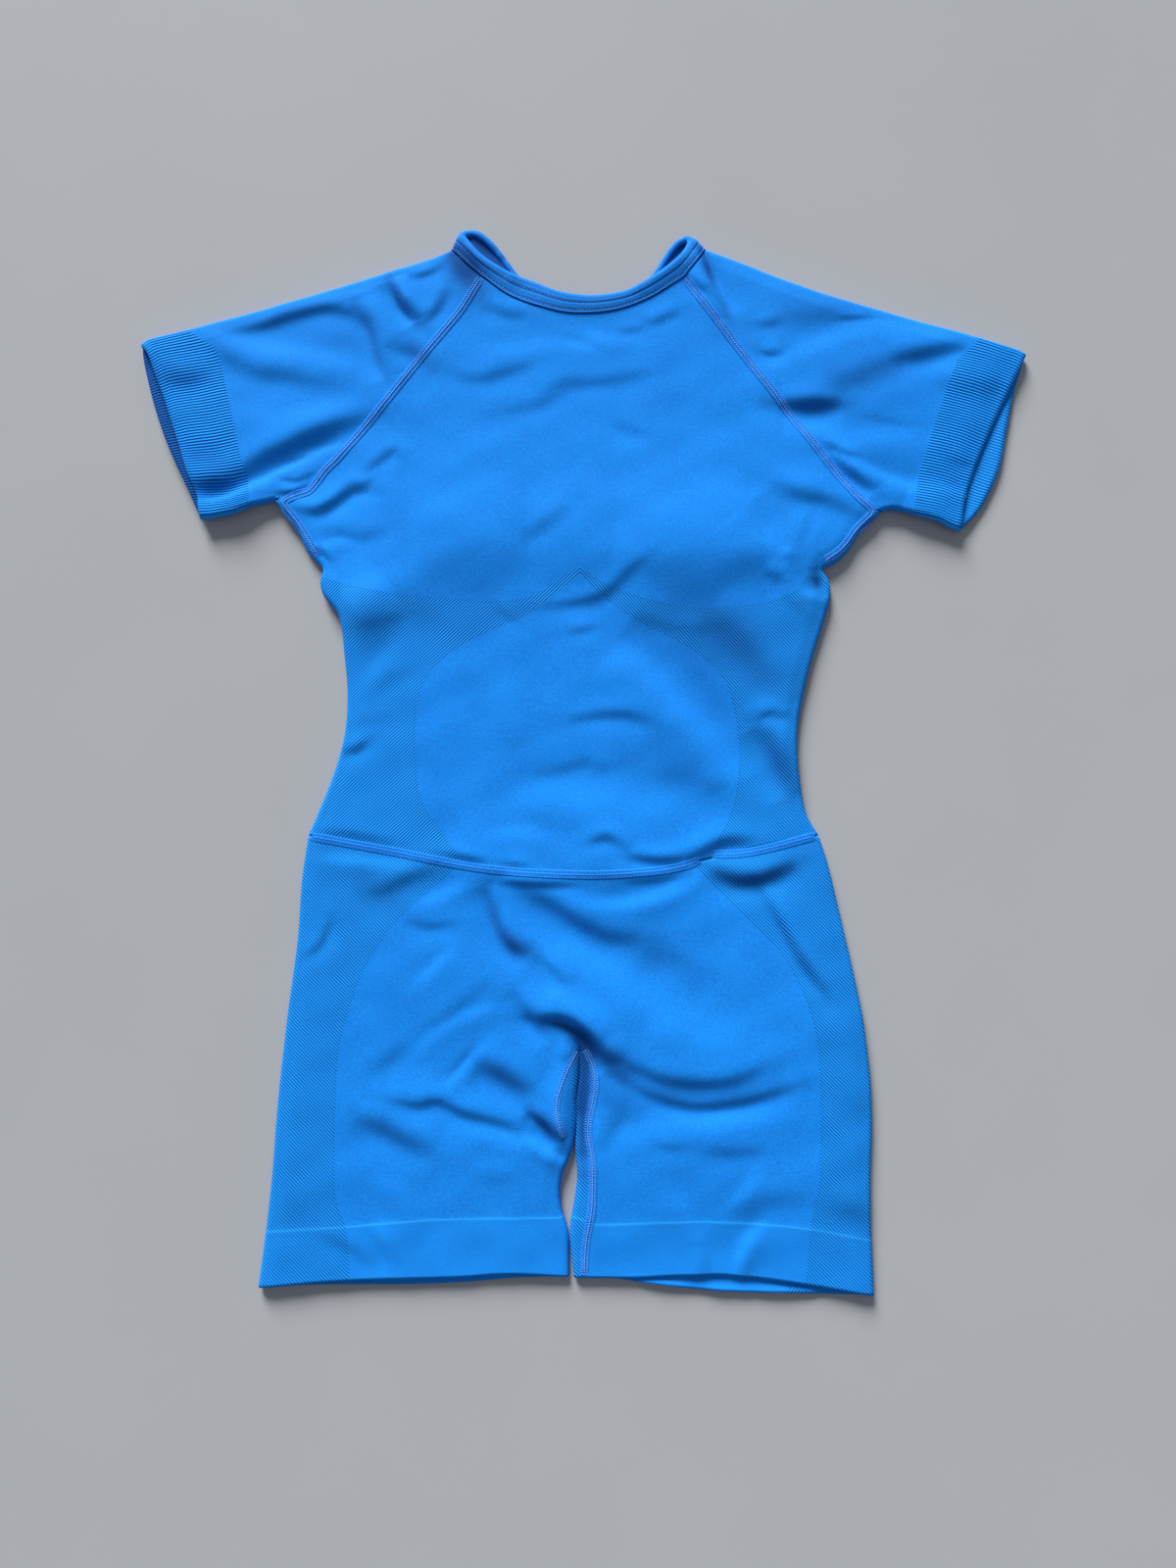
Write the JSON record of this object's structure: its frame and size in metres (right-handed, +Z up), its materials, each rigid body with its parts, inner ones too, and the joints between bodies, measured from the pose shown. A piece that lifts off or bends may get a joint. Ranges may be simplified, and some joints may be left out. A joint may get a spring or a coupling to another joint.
{
  "type": "yoga bodysuit",
  "caption": "Short-sleeved seamless-knit yoga bodysuit with shorts legs, raglan sleeves and a scooped neck, laid out flat on its back with the front up.",
  "frame": {"origin": "centre of the bounding box in plan, on the surface that the garment lies on", "axes": "+X to the right of the laid-out front, +Y towards the neck, +Z up from the surface"},
  "size_m": [0.519, 0.6106, 0.0076],
  "materials": {
    "body_knit": "matte azure jersey knit with diagonal rib panels",
    "sleeve_knit": "matte azure jersey knit with a ribbed cuff",
    "binding_knit": "matte azure folded knit strip",
    "thread": "pale violet-blue sewing thread"
  },
  "bodies": {
    "root": {"bodice": "body_knit", "shorts": "body_knit", "sleeve_left": "sleeve_knit", "sleeve_right": "sleeve_knit", "neck_binding": "binding_knit"}
  },
  "joints": []
}
